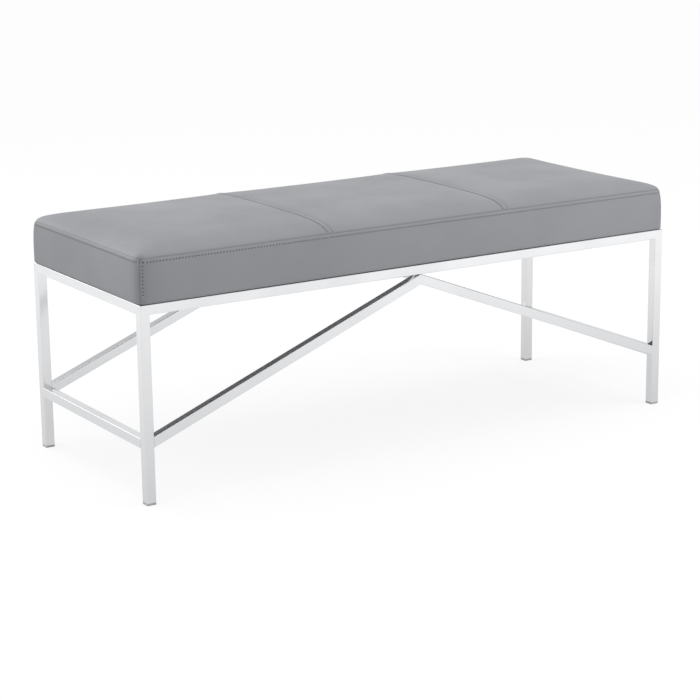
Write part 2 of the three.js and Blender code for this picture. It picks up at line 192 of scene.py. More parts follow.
def makeMottle(effect):
    group, source, result = newGroup("mottle", ["Size", "Detail"])
    perMetre = addNode(group, "ShaderNodeMath", operation="DIVIDE")
    perMetre.inputs[0].default_value = 1.0
    wire(group, source.outputs["Size"], perMetre.inputs[1])
    cloud = addNode(group, "ShaderNodeTexNoise")
    wire(group, source.outputs["Vector"], cloud.inputs["Vector"])
    wire(group, perMetre.outputs[0], cloud.inputs["Scale"])
    wire(group, source.outputs["Detail"], cloud.inputs["Detail"])
    value = mapRange(group, cloud.outputs["Fac"], *effect["mottleSpread"], 0.0, 1.0)
    wire(group, value, result.inputs["Value"])
    return group


def makeFineLines(effect):
    group, source, result = newGroup("fineLines", ["Run", "Pitch"])
    place = splitAxes(group, source.outputs["Vector"])
    joined = addNode(group, "ShaderNodeCombineXYZ")
    for axis, size in (("X", "Run"), ("Y", "Pitch"), ("Z", "Pitch")):
        wire(group, joinValues(group, "DIVIDE", place[axis], source.outputs[size]), joined.inputs[axis])
    streak = addNode(group, "ShaderNodeTexNoise")
    streak.inputs["Scale"].default_value = 1.0
    streak.inputs["Detail"].default_value = effect["lineDetail"]
    wire(group, joined.outputs[0], streak.inputs["Vector"])
    value = mapRange(group, streak.outputs["Fac"], *effect["lineSpread"], 0.0, 1.0)
    wire(group, value, result.inputs["Value"])
    return group


mottle = makeMottle(sharedEffects)
fineLines = makeFineLines(sharedEffects)


# Polished bright plating: faint polishing lines along each tube, corners rubbed a little duller, and painted
# shade that darkens the colour towards the floor
polishedLook = {
    "bright": (0.82, 0.825, 0.835),
    "dull": (0.68, 0.69, 0.705),
    "dullShare": 0.4,
    # Painted shade: the darker colour the tubes take near the floor, and the height it fades out at
    "zincBloomAndPaintedShade": (0.60, 0.605, 0.615),
    "paintedShadeFrom": 0.36,
    "cloudSize": 0.11,
    "cloudDetail": 4.0,
    "roughness": (0.10, 0.21),
    "lineRun": 0.12,
    "linePitch": 0.0005,
    "lineDepth": 0.00003,
    "lineStrength": 0.03,
    "leastLine": 0.5,
    "cornerFrom": 0.0076,
    "cornerTo": 0.0094,
    "rubSize": 0.02,
    "rubDetail": 3.0,
    "rubShare": 0.5,
}


def makePolishedSteel(look, onTube):
    material, tree, shader = newMaterial("polishedSteel" if onTube else "polishedPlate", metallic=1.0)
    point = objectPoint(tree)
    along = addNode(tree, "ShaderNodeUVMap", uv_map="alongTube").outputs["UV"] if onTube else point
    cloud = placeGroup(tree, mottle, point, Size=look["cloudSize"], Detail=look["cloudDetail"])
    lines = placeGroup(tree, fineLines, along, Run=look["lineRun"], Pitch=look["linePitch"])
    # Painted shade: the colour darkens towards the floor, below the height set in the look
    low = mapRange(tree, splitAxes(tree, point)["Z"], 0.0, look["paintedShadeFrom"], 1.0, 0.0)
    clean = mixColour(tree, low, look["bright"], look["zincBloomAndPaintedShade"])
    colour = mixColour(tree, shareTo(tree, cloud, 0.0, look["dullShare"]), clean, look["dull"])
    if onTube:
        across = addNode(tree, "ShaderNodeMath", operation="ABSOLUTE")
        wire(tree, splitAxes(tree, along)["Y"], across.inputs[0])
        corner = mapRange(tree, across.outputs[0], look["cornerFrom"], look["cornerTo"], 0.0, 1.0)
        rubs = placeGroup(tree, mottle, point, Size=look["rubSize"], Detail=look["rubDetail"])
        worn = joinValues(tree, "MULTIPLY", corner, rubs)
        colour = mixColour(tree, shareTo(tree, worn, 0.0, look["rubShare"]), colour, look["dull"])
    wire(tree, colour, shader.inputs["Base Color"])
    lined = joinValues(tree, "MULTIPLY", cloud, shareTo(tree, lines, look["leastLine"], 1.0))
    setRoughness(tree, shader, lined, look["roughness"])
    addBump(tree, lines, shader, look["lineStrength"], look["lineDepth"])
    return material


# Dull zinc on the hidden fastenings
zincLook = {
    "pale": (0.62, 0.635, 0.65),
    "dark": (0.42, 0.44, 0.47),
    "bloomSize": 0.006,
    "bloomDetail": 5.0,
    "roughness": (0.28, 0.5),
    "lineRun": 0.01,
    "linePitch": 0.0003,
    "lineDepth": 0.00005,
    "lineStrength": 0.1,
}


def makeZinc(look):
    material, tree, shader = newMaterial("zincPlating", metallic=1.0)
    point = objectPoint(tree)
    zincBloomAndPaintedShade = placeGroup(tree, mottle, point, Size=look["bloomSize"], Detail=look["bloomDetail"])
    lines = placeGroup(tree, fineLines, point, Run=look["lineRun"], Pitch=look["linePitch"])
    setColour(tree, shader, zincBloomAndPaintedShade, look["pale"], look["dark"])
    setRoughness(tree, shader, zincBloomAndPaintedShade, look["roughness"])
    addBump(tree, lines, shader, look["lineStrength"], look["lineDepth"])
    return material


# Grey leatherette: fine pebbled grain, soft unevenness, and painted shade in the seams, the top edge and the
# corners
leatherLook = {
    "colour": (0.287, 0.294, 0.311),
    "shade": (0.248, 0.254, 0.269),
    # Painted shade: the dark that the seamShade attribute mixes in at grooves, seam rows, the top edge and
    # corners
    "seam": (0.17, 0.174, 0.185),
    "cloudSize": 0.16,
    "cloudDetail": 3.0,
    "cloudShare": 0.6,
    "grainSize": 0.0017,
    "grainDepth": 0.00016,
    "grainStrength": 0.65,
    "pebbleEdge": 0.22,
    "creviceShare": 0.4,
    "poreSize": 0.0004,
    "poreDetail": 2.0,
    "poreShare": 0.25,
    "roughness": (0.40, 0.52),
    "specular": 0.36,
}


def makeLeatherette(look):
    material, tree, shader = newMaterial("greyLeatherette")
    point = objectPoint(tree)
    cloud = placeGroup(tree, mottle, point, Size=look["cloudSize"], Detail=look["cloudDetail"])
    pores = placeGroup(tree, mottle, point, Size=look["poreSize"], Detail=look["poreDetail"])
    pebbles = addNode(tree, "ShaderNodeTexVoronoi", feature="DISTANCE_TO_EDGE")
    pebbles.inputs["Scale"].default_value = 1.0 / look["grainSize"]
    wire(tree, point, pebbles.inputs["Vector"])
    pebbleTop = mapRange(tree, pebbles.outputs["Distance"], 0.0, look["pebbleEdge"], 0.0, 1.0)
    even = mixColour(tree, shareTo(tree, cloud, 0.0, look["cloudShare"]), look["colour"], look["shade"])
    grained = mixColour(tree, shareTo(tree, pebbleTop, look["creviceShare"], 0.0), even, look["shade"])
    # The seamShade attribute carries painted shade; where it is high, the colour goes to the dark seam
    # colour
    sewn = addNode(tree, "ShaderNodeAttribute", attribute_name="seamShade").outputs["Fac"]
    setColour(tree, shader, sewn, grained, look["seam"])
    setRoughness(tree, shader, cloud, look["roughness"])
    height = addNode(tree, "ShaderNodeMath", operation="MULTIPLY_ADD")
    wire(tree, pores, height.inputs[0])
    height.inputs[1].default_value = look["poreShare"]
    wire(tree, pebbleTop, height.inputs[2])
    addBump(tree, height.outputs[0], shader, look["grainStrength"], look["grainDepth"])
    shader.inputs["Specular IOR Level"].default_value = look["specular"]
    return material


# Sewing thread, with its twist
threadLook = {
    "light": (0.37, 0.376, 0.392),
    "dark": (0.28, 0.285, 0.298),
    "twist": 0.0006,
    "twistWander": 1.5,
    "twistDepth": 0.0001,
    "twistStrength": 0.5,
    "fluffSize": 0.004,
    "fluffDetail": 4.0,
    "roughness": (0.55, 0.75),
}


def makeThread(look):
    material, tree, shader = newMaterial("greyThread")
    point = objectPoint(tree)
    twist = addNode(tree, "ShaderNodeTexWave", bands_direction="DIAGONAL")
    twist.inputs["Scale"].default_value = waveRun / look["twist"]
    twist.inputs["Distortion"].default_value = look["twistWander"]
    wire(tree, point, twist.inputs["Vector"])
    fluff = placeGroup(tree, mottle, point, Size=look["fluffSize"], Detail=look["fluffDetail"])
    setColour(tree, shader, fluff, look["light"], look["dark"])
    setRoughness(tree, shader, fluff, look["roughness"])
    addBump(tree, twist.outputs["Fac"], shader, look["twistStrength"], look["twistDepth"])
    return material


# Painted shade: the near-black of a needle hole's shadow, worn by dark beads set in each hole
holeShadowLook = {
    "light": (0.03, 0.0305, 0.032),
    "dark": (0.015, 0.015, 0.016),
    "cloudSize": 0.003,
    "cloudDetail": 2.0,
    "roughness": (0.8, 0.95),
}


def makeSeamShadow(look):
    material, tree, shader = newMaterial("seamShadow")
    point = objectPoint(tree)
    cloud = placeGroup(tree, mottle, point, Size=look["cloudSize"], Detail=look["cloudDetail"])
    setColour(tree, shader, cloud, look["light"], look["dark"])
    setRoughness(tree, shader, cloud, look["roughness"])
    return material


# Non-woven cloth under the seat
feltLook = {
    "light": (0.25, 0.25, 0.259),
    "dark": (0.205, 0.205, 0.212),
    "patchSize": 0.03,
    "patchDetail": 5.0,
    "fibreRun": 0.006,
    "fibrePitch": 0.0007,
    "fibreDepth": 0.0002,
    "fibreStrength": 0.5,
    "roughness": (0.85, 1.0),
}


def makeFelt(look):
    material, tree, shader = newMaterial("greyFelt")
    point = objectPoint(tree)
    patches = placeGroup(tree, mottle, point, Size=look["patchSize"], Detail=look["patchDetail"])
    fibres = placeGroup(tree, fineLines, point, Run=look["fibreRun"], Pitch=look["fibrePitch"])
    setColour(tree, shader, patches, look["light"], look["dark"])
    setRoughness(tree, shader, fibres, look["roughness"])
    addBump(tree, fibres, shader, look["fibreStrength"], look["fibreDepth"])
    return material


# Plywood: grain along the board and the edges of its plies
plywoodLook = {
    "pale": (0.62, 0.45, 0.27),
    "dark": (0.40, 0.26, 0.14),
    "plyPair": 0.0046875,
    "plyWander": 0.4,
    "grainRun": 0.25,
    "grainPitch": 0.006,
    "grainDepth": 0.0002,
    "grainStrength": 0.2,
    "roughness": (0.6, 0.8),
}


def makePlywood(look):
    material, tree, shader = newMaterial("seatPlywood")
    point = objectPoint(tree)
    grain = placeGroup(tree, fineLines, point, Run=look["grainRun"], Pitch=look["grainPitch"])
    plies = addNode(tree, "ShaderNodeTexWave", bands_direction="Z")
    plies.inputs["Scale"].default_value = waveRun / look["plyPair"]
    plies.inputs["Distortion"].default_value = look["plyWander"]
    wire(tree, point, plies.inputs["Vector"])
    both = joinValues(tree, "MULTIPLY", grain, plies.outputs["Fac"])
    setColour(tree, shader, both, look["pale"], look["dark"])
    setRoughness(tree, shader, grain, look["roughness"])
    addBump(tree, grain, shader, look["grainStrength"], look["grainDepth"])
    return material


# Moulded foot plugs, scuffed near the floor
plasticLook = {
    "clean": (0.43, 0.435, 0.445),
    "scuffed": (0.27, 0.27, 0.275),
    "scuffHeight": 0.0022,
    "scuffSize": 0.004,
    "scuffDetail": 4.0,
    "pebbleSize": 0.0006,
    "pebbleDetail": 2.0,
    "pebbleDepth": 0.0001,
    "pebbleStrength": 0.2,
    "roughness": (0.42, 0.6),
}


def makePlastic(look):
    material, tree, shader = newMaterial("greyPlastic")
    point = objectPoint(tree)
    low = mapRange(tree, splitAxes(tree, point)["Z"], 0.0, look["scuffHeight"], 1.0, 0.0)
    scuff = placeGroup(tree, mottle, point, Size=look["scuffSize"], Detail=look["scuffDetail"])
    worn = joinValues(tree, "MULTIPLY", low, scuff)
    setColour(tree, shader, worn, look["clean"], look["scuffed"])
    setRoughness(tree, shader, scuff, look["roughness"])
    pebble = placeGroup(tree, mottle, point, Size=look["pebbleSize"], Detail=look["pebbleDetail"])
    addBump(tree, pebble, shader, look["pebbleStrength"], look["pebbleDepth"])
    return material


polishedSteel = makePolishedSteel(polishedLook, onTube=True)
polishedPlate = makePolishedSteel(polishedLook, onTube=False)
zincPlating = makeZinc(zincLook)
greyLeatherette = makeLeatherette(leatherLook)
greyThread = makeThread(threadLook)
seamShadow = makeSeamShadow(holeShadowLook)
greyFelt = makeFelt(feltLook)
seatPlywood = makePlywood(plywoodLook)
greyPlastic = makePlastic(plasticLook)
print("materials made:", len(bpy.data.materials))


# Mesh helpers
def addPiece(name, bm, material, slot, *nodes):
    mesh = bpy.data.meshes.new(name)
    bm.to_mesh(mesh)
    bm.free()
    mesh.materials.append(material)
    piece = bpy.data.objects.new(name, mesh)
    scene.collection.objects.link(piece)
    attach(piece, "root")
    if nodes:
        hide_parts(*nodes)
    return piece


def smoothButCreased(piece, degrees):
    piece.data.shade_smooth()
    piece.data.set_sharp_from_angle(angle=math.radians(degrees))
    modifier = piece.modifiers.new("flatFaces", "WEIGHTED_NORMAL")
    modifier.keep_sharp = True


def drawBlock(size):
    bm = bmesh.new()
    bmesh.ops.create_cube(bm, size=1.0)
    bmesh.ops.scale(bm, verts=bm.verts, vec=size)
    return bm


def roundEdges(bm, edges, radius, steps, clamp=False):
    return bmesh.ops.bevel(
        bm,
        geom=edges,
        offset=radius,
        segments=steps,
        profile=0.5,
        material=-1,
        affect="EDGES",
        clamp_overlap=clamp,
    )


def axisVector(axis):
    return Vector([1.0 if at == axis else 0.0 for at in range(3)])


# Square tubes of the frame. Each is drawn along X, then stood in its place and cut to its mitres.
squareTube = {
    "corner": 0.0015,
    "cornerSteps": 4,
    "weldGap": 0.0003,
    "mitreGap": 0.0001,
    "weldReach": 0.0008,
    "creaseAngle": 40.0,
}
railLow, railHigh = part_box("top_rail_front")
tubeSide = railHigh.z - railLow.z
frameHalf = Vector((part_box("leg_front_right")[1].x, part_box("leg_rear_left")[1].y, 0.0))
frameTop = railHigh.z


def drawTube(length):
    bm = drawBlock((length, tubeSide, tubeSide))
    longEdges = [edge for edge in bm.edges if abs(edge.verts[0].co.x - edge.verts[1].co.x) > length / 2]
    roundEdges(bm, longEdges, squareTube["corner"], squareTube["cornerSteps"])
    alongTube = bm.loops.layers.uv.new("alongTube")
    for face in bm.faces:
        upright = abs(face.normal.y) > abs(face.normal.z)
        for loop in face.loops:
            place = loop.vert.co
            loop[alongTube].uv = (place.x, place.z if upright else place.y)
    return bm


def cutTube(bm, point, keepNormal):
    everything = bm.verts[:] + bm.edges[:] + bm.faces[:]
    cut = bmesh.ops.bisect_plane(bm, geom=everything, plane_co=point, plane_no=keepNormal, clear_inner=True)
    rim = [part for part in cut["geom_cut"] if isinstance(part, bmesh.types.BMEdge)]
    bmesh.ops.holes_fill(bm, edges=rim)


def mitreTube(bm, endSign, sideSign, axis):
    corner = Vector((endSign * frameHalf.x, sideSign * frameHalf.y, frameTop))
    inward = [Vector((-endSign, 0, 0)), Vector((0, -sideSign, 0)), Vector((0, 0, -1))]
    for other in (alongX, alongY, alongZ):
        if other != axis:
            normal = (inward[axis] - inward[other]).normalized()
            cutTube(bm, corner + normal * squareTube["mitreGap"] / 2, normal)


def finishTube(bm, node):
    bmesh.ops.remove_doubles(bm, verts=bm.verts, dist=samePoint)
    bmesh.ops.recalc_face_normals(bm, faces=bm.faces)
    tube = addPiece("tube_" + node, bm, polishedSteel, "polished_steel", node)
    smoothButCreased(tube, squareTube["creaseAngle"])


def standTube(bm, node, axis):
    low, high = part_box(node)
    direction = axisVector(axis)
    across = axisVector(alongX if axis == alongY else alongY)
    turn = Matrix((direction, across, direction.cross(across))).transposed().to_4x4()
    bmesh.ops.transform(bm, matrix=Matrix.Translation((low + high) / 2) @ turn, verts=bm.verts)


def makeStraightTube(node, axis, corners):
    low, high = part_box(node)
    welded = 0.0 if corners else 2 * squareTube["weldReach"]
    bm = drawTube(high[axis] - low[axis] + welded)
    standTube(bm, node, axis)
    for endSign, sideSign in corners:
        mitreTube(bm, endSign, sideSign, axis)
    finishTube(bm, node)


# A brace is drawn too long, laid at its slope, and cut at the leg, at its peak and under the rail
def makeBrace(node, endSign):
    low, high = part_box(node)
    run = high.x - low.x
    rise = high.z + squareTube["weldGap"] - low.z
    slope = math.acos(tubeSide / math.hypot(rise, run)) - math.atan2(run, rise)
    along = Vector((-endSign * math.cos(slope), 0.0, math.sin(slope)))
    bm = drawTube(2.0 * math.hypot(run, rise))
    across = axisVector(alongY)
    turn = Matrix((along, across, along.cross(across))).transposed().to_4x4()
    outer = low.x if endSign < 0 else high.x
    start = Vector((outer, (low.y + high.y) / 2, low.z + tubeSide / math.cos(slope) / 2))
    bmesh.ops.transform(bm, matrix=Matrix.Translation(start) @ turn, verts=bm.verts)
    cutTube(bm, Vector((outer + endSign * squareTube["weldReach"], 0, 0)), Vector((-endSign, 0, 0)))
    cutTube(bm, Vector((endSign * squareTube["mitreGap"] / 2, 0, 0)), Vector((endSign, 0, 0)))
    cutTube(bm, Vector((0, 0, high.z + squareTube["weldReach"])), Vector((0, 0, -1)))
    finishTube(bm, node)


for side, sideSign in sides.items():
    makeStraightTube("top_rail_" + side, alongX, [(sign, sideSign) for sign in ends.values()])
    for end, endSign in ends.items():
        makeStraightTube(f"leg_{side}_{end}", alongZ, [(endSign, sideSign)])
        makeBrace(f"brace_{side}_{end}", endSign)
for end, endSign in ends.items():
    makeStraightTube("top_rail_" + end, alongY, [(endSign, sign) for sign in sides.values()])
    makeStraightTube("end_stretcher_" + end, alongY, [])
print("frame tubes made")

# Foot plugs: the head that shows below each leg
footPlug = {
    "head": 0.004,
    "corner": 0.0015,
    "cornerSteps": 4,
    "rim": 0.0007,
    "rimSteps": 3,
    "creaseAngle": 50.0,
}


def makeFootPlug(node):
    low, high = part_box(node)
    head = footPlug["head"]
    bm = drawBlock((high.x - low.x, high.y - low.y, head))
    uprights = [edge for edge in bm.edges if abs(edge.verts[0].co.z - edge.verts[1].co.z) > head / 2]
    roundEdges(bm, uprights, footPlug["corner"], footPlug["cornerSteps"])
    rims = [edge for edge in bm.edges if abs(edge.verts[0].co.z - edge.verts[1].co.z) < sameLevel]
    roundEdges(bm, rims, footPlug["rim"], footPlug["rimSteps"])
    middle = Vector(((low.x + high.x) / 2, (low.y + high.y) / 2, low.z + head / 2))
    bmesh.ops.translate(bm, verts=bm.verts, vec=middle)
    plug = addPiece("head_" + node, bm, greyPlastic, "grey_plastic", node)
    smoothButCreased(plug, footPlug["creaseAngle"])


for side in sides:
    for end in ends:
        makeFootPlug(f"foot_plug_{side}_{end}")
print("foot plugs made")

# Upholstered seat. A cut-up block is given the sewn form, then blown up as cloth between its seams.
seatCushion = {
    "corner": 0.02,
    "fold": 0.0035,
    "foldSteps": 3,
    "roll": 0.006,
    "rollReach": 0.011,
    "crown": 0.0128,
    "crownReach": 0.042,
    "bandInset": 0.0012,
    "seamDraw": 0.003,
    "bulgeRise": 0.037,
    "sidePull": 0.0014,
    "lengthFade": 9,
    "widthFade": 5,
    "stripWidth": 0.012,
    "stripLift": 0.0012,
    "stripLiftReach": 0.03,
    "grid": 0.012,
    "mostSwell": 0.0034,
    "frames": 20,
}
coverCloth = {
    "quality": 6,
    "mass": 0.35,
    "tension_stiffness": 25.0,
    "compression_stiffness": 25.0,
    "shear_stiffness": 12.0,
    "bending_stiffness": 6.0,
    "uniform_pressure_force": 4.0,
}
seamKinds = {"edge": 1, "corner": 2, "cross": 3}
bandNodes = ["side_band_" + name for name in ("front", "rear", "left", "right")]
panelNodes = ["top_panel_" + name for name in ("left", "middle", "right")]
cushionNodes = [*panelNodes, *bandNodes, "seat_foam"]
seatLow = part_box("side_band_left")[0].copy()
seatLow.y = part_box("side_band_front")[0].y
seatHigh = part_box("side_band_right")[1].copy()
seatHigh.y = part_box("side_band_rear")[1].y
seatHalf = (seatHigh - seatLow) / 2
seamLevel = seatHigh.z
crossSeams = [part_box("top_panel_middle")[0].x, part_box("top_panel_middle")[1].x]
stripLines = [seam + sign * seatCushion["stripWidth"] / 2 for seam in crossSeams for sign in (-1, 1)]


def spread(start, end, step):
    count = max(1, round((end - start) / step))
    return [start + (end - start) * at / count for at in range(1, count)]


def stationsBetween(marks, step):
    places = []
    for start, end in zip(marks, marks[1:]):
        places += [start] + spread(start, end, step)
    return places[1:]


def cutAcross(bm, axis, places):
    normal = axisVector(axis)
    for place in places:
        everything = bm.verts[:] + bm.edges[:] + bm.faces[:]
        bmesh.ops.bisect_plane(bm, geom=everything, plane_co=normal * place, plane_no=normal, dist=samePoint)


def isAt(edge, axis, place):
    return all(abs(vert.co[axis] - place) < sameLevel for vert in edge.verts)


def cutBlock():
    bm = drawBlock(seatHigh - seatLow)
    bmesh.ops.translate(bm, verts=bm.verts, vec=(seatLow + seatHigh) / 2)
    foldEdges = [edge for edge in bm.edges if isAt(edge, alongZ, seatLow.z)]
    roundEdges(bm, foldEdges, seatCushion["fold"], seatCushion["foldSteps"])
    corner = seatCushion["corner"]
    grid = seatCushion["grid"]
    lengthMarks = [-seatHalf.x, -seatHalf.x + corner / 2, -seatHalf.x + corner, *stripLines]
    lengthMarks += [seatHalf.x - corner, seatHalf.x - corner / 2, seatHalf.x]
    widthMarks = [-seatHalf.y, -seatHalf.y + corner / 2, -seatHalf.y + corner]
    widthMarks += [seatHalf.y - corner, seatHalf.y - corner / 2, seatHalf.y]
    cutAcross(bm, alongX, stationsBetween(lengthMarks, grid))
    cutAcross(bm, alongY, stationsBetween(widthMarks, grid))
    cutAcross(bm, alongZ, stationsBetween([seatLow.z + seatCushion["fold"], seamLevel], grid))
    return bm


def markSeams(bm):
    kinds = bm.edges.layers.int.new("seamKind")
    for edge in bm.edges:
        onTop = isAt(edge, alongZ, seamLevel)
        onEnd = isAt(edge, alongX, -seatHalf.x) or isAt(edge, alongX, seatHalf.x)
        onSide = isAt(edge, alongY, -seatHalf.y) or isAt(edge, alongY, seatHalf.y)
        if onTop and (onEnd or onSide):
            edge[kinds] = seamKinds["edge"]
        elif onEnd and onSide:
            edge[kinds] = seamKinds["corner"]
        elif onTop and any(isAt(edge, alongX, line) for line in stripLines):
            edge[kinds] = seamKinds["cross"]


def fromEdge(point):
    fromEnd = max(seatHalf.x - abs(point.x), 0.0)
    fromSide = max(seatHalf.y - abs(point.y), 0.0)
    if fromEnd <= 0.0 or fromSide <= 0.0:
        return 0.0
    return fromEnd * fromSide / math.hypot(fromEnd, fromSide)


def crownRise(point):
    away = fromEdge(point)
    rolled = seatCushion["roll"] * (1.0 - math.exp(-away / seatCushion["rollReach"]))
    full = 1.0 - math.exp(-away / seatCushion["crownReach"])
    lift = sum(math.exp(-(((point.x - seam) / seatCushion["stripLiftReach"]) ** 2)) for seam in crossSeams)
    return rolled + (seatCushion["crown"] + seatCushion["stripLift"] * lift) * full


def roundCorner(point):
    corner = seatCushion["corner"]
    across = (abs(point.x) - seatHalf.x + corner) / corner
    back = (abs(point.y) - seatHalf.y + corner) / corner
    if across <= 0.0 or back <= 0.0:
        return
    point.x -= math.copysign(corner * across * (1.0 - math.sqrt(1.0 - back * back / 2.0)), point.x)
    point.y -= math.copysign(corner * back * (1.0 - math.sqrt(1.0 - across * across / 2.0)), point.y)


def sewForm(bm):
    widest = frameTop + seatCushion["bulgeRise"]
    pull = seatCushion["sidePull"]
    for vert in bm.verts:
        place = vert.co.copy()
        roundCorner(vert.co)
        share = max(place.z - widest, 0.0) / (seamLevel - widest)
        drawnIn = seatCushion["bandInset"] + seatCushion["seamDraw"] * share ** 2
        lengthShare = place.x / seatHalf.x
        widthShare = place.y / seatHalf.y
        vert.co.x -= lengthShare ** seatCushion["lengthFade"] * (drawnIn + pull * (1.0 - widthShare ** 2))
        vert.co.y -= widthShare ** seatCushion["widthFade"] * (drawnIn + pull * (1.0 - lengthShare ** 2))
        if place.z > seamLevel - sameLevel:
            vert.co.z += crownRise(place)


def sewnPoints(bm):
    kinds = bm.edges.layers.int["seamKind"]
    hem = seatLow.z + seatCushion["fold"] + sameLevel
    return [v.index for v in bm.verts if v.co.z < hem or any(edge[kinds] > 0 for edge in v.link_edges)]


def blowUp(piece):
    cloth = piece.modifiers.new("cover", "CLOTH")
    settings = cloth.settings
    for name, value in coverCloth.items():
        setattr(settings, name, value)
    settings.vertex_group_mass = "sewn"
    settings.use_pressure = True
    settings.effector_weights.gravity = 0.0
    cloth.collision_settings.use_collision = False
    cloth.point_cache.frame_start = 1
    cloth.point_cache.frame_end = seatCushion["frames"]
    for at in range(1, seatCushion["frames"] + 1):
        scene.frame_set(at)
    blown = piece.evaluated_get(bpy.context.evaluated_depsgraph_get())
    swollen = [vert.co.copy() for vert in blown.data.vertices]
    most = seatCushion["mostSwell"]
    moves = [target - vert.co for vert, target in zip(piece.data.vertices, swollen)]
    for vert, move in zip(piece.data.vertices, moves):
        if move.length > 0.0:
            vert.co += move * (most * math.tanh(move.length / most) / move.length)
    piece.modifiers.remove(cloth)
    scene.frame_set(1)
    print("cover blown up, most by", round(max(move.length for move in moves), 4))


# Seams: a groove along the top edge and down each corner, a slight welt under the top edge, a raised strip
# between the two dipped rows of each cross seam, and puckers. Painted shade goes into the seamShade
# attribute in the grooves, the dipped rows and a band of the top panel along its edge
seamWork = {
    "groove": 0.0019,
    "grooveSteps": 2,
    "grooveDepth": 0.0015,
    "grooveShade": 1.0,
    "edgeShade": 0.3,
    "edgeReach": 0.005,
    "cornerDepth": 0.0016,
    "cornerShade": 1.0,
    "stripRise": 0.0012,
    "crossDip": 0.0016,
    "crossShade": 0.9,
    "crossFade": 0.006,
    "weltRise": 0.0004,
    "knotDraw": 0.0034,
    "knotReach": 0.009,
    "knotShade": 1.0,
    "creaseShade": 0.42,
    "creaseReach": 0.022,
    "rowWidth": 0.0020,
    "belowSeam": 0.0074,
    "topFrom": 0.0004,
    "pucker": 0.0008,
    "puckerPitch": 0.026,
    "puckerReach": 0.022,
    "puckerFrom": 0.012,
    "settle": 0.0011,
    "settleWidth": 0.011,
}


def cutGrooves(bm, shade):
    kinds = bm.edges.layers.int["seamKind"]
    grooved = (seamKinds["edge"], seamKinds["corner"])
    sewnEdges = [edge for edge in bm.edges if edge[kinds] in grooved]
    bevelled = roundEdges(bm, sewnEdges, seamWork["groove"], seamWork["grooveSteps"], clamp=True)
    grooveFaces = set(bevelled["faces"])
    bm.normal_update()
    bottoms = [vert for vert in bevelled["verts"] if all(face in grooveFaces for face in vert.link_faces)]
    for vert in bottoms:
        atCorner = vert.co.z < seamLevel - seamWork["groove"] * 2
        vert.co -= vert.normal * seamWork["cornerDepth" if atCorner else "grooveDepth"]
        # Painted shade in the groove bottoms
        vert[shade] = seamWork["cornerShade" if atCorner else "grooveShade"]
    return set(bottoms)


def settleHem(vert):
    rim = min(seatHalf.x - abs(vert.co.x), seatHalf.y - abs(vert.co.y))
    if vert.co.z < seatLow.z + sameLevel and rim < seamWork["settleWidth"]:
        vert.co.z -= seamWork["settle"]


def puckerCover(vert, away):
    reach = math.exp(-max(away, 0.0) / seamWork["puckerReach"])
    ripple = noise.noise(Vector((vert.co.x, vert.co.y, 0.0)) / seamWork["puckerPitch"])
    vert.co += vert.normal * ripple * seamWork["pucker"] * reach


def sewTop(vert, shade, place, away):
    halfRow = seamWork["rowWidth"] / 2
    # Painted shade along the top panel's edge, fading inward, and in the dipped rows of the cross seams
    vert[shade] = seamWork["edgeShade"] * math.exp(-away / seamWork["edgeReach"])
    fade = min(1.0, away / seamWork["crossFade"])
    for seam in crossSeams:
        offset = abs(place.x - seam) - seatCushion["stripWidth"] / 2
        if offset < -halfRow:
            vert.co.z += seamWork["stripRise"] * fade
        elif abs(offset) < halfRow:
            vert.co.z -= seamWork["crossDip"] * fade
            vert[shade] = max(vert[shade], seamWork["crossShade"] * fade)


# Where the seams meet, each corner is drawn in to a knot, with painted shade on the knot and down each
# corner's crease
def drawCorners(bm, shade):
    drawnIn = seatCushion["bandInset"] + seatCushion["seamDraw"]
    arcMiddle = seatCushion["corner"] * (1.0 - math.sqrt(0.5)) + drawnIn
    for vert in bm.verts:
        inX = seatHalf.x - arcMiddle - abs(vert.co.x)
        inY = seatHalf.y - arcMiddle - abs(vert.co.y)
        fromCorner = math.hypot(inX, inY)
        knot = math.exp(-(fromCorner ** 2 + (vert.co.z - seamLevel) ** 2) / seamWork["knotReach"] ** 2)
        crease = math.exp(-fromCorner / seamWork["creaseReach"]) if vert.co.z < seamLevel else 0.0
        vert[shade] = max(vert[shade], seamWork["knotShade"] * knot, seamWork["creaseShade"] * crease)
        vert.co -= vert.normal * seamWork["knotDraw"] * knot


def finishSeams(piece):
    bm = bmesh.new()
    bm.from_mesh(piece.data)
    shade = bm.verts.layers.float.new("seamShade")
    rowStep = seamWork["rowWidth"]
    bandRow = seamLevel - seamWork["belowSeam"]
    cutAcross(bm, alongX, [line + sign * rowStep for line in stripLines for sign in (-1, 1)])
    cutAcross(bm, alongZ, [bandRow - rowStep, bandRow, bandRow + rowStep])
    inGroove = cutGrooves(bm, shade)
    for vert in bm.verts:
        place = vert.co.copy()
        settleHem(vert)
        if vert in inGroove or place.z < seatLow.z + seamWork["puckerFrom"]:
            continue
        onTop = place.z > seamLevel + seamWork["topFrom"]
        away = fromEdge(place) if onTop else seamLevel - place.z
        puckerCover(vert, away)
        if onTop:
            sewTop(vert, shade, place, away)
        elif place.z > bandRow:
            vert.co += vert.normal * seamWork["weltRise"] * (place.z - bandRow) / seamWork["belowSeam"]
    drawCorners(bm, shade)
    bm.to_mesh(piece.data)
    bm.free()


def makeSeat():
    bm = cutBlock()
    markSeams(bm)
    sewForm(bm)
    bmesh.ops.recalc_face_normals(bm, faces=bm.faces)
    bm.verts.index_update()
    pinned = sewnPoints(bm)
    piece = addPiece("seat_cushion", bm, greyLeatherette, "grey_leatherette", *cushionNodes)
    piece.vertex_groups.new(name="sewn").add(pinned, 1.0, "REPLACE")
    blowUp(piece)
    finishSeams(piece)
    piece.data.shade_smooth()
    rounding = piece.modifiers.new("rounding", "SUBSURF")
    rounding.levels = 1
    rounding.render_levels = 1
    return piece


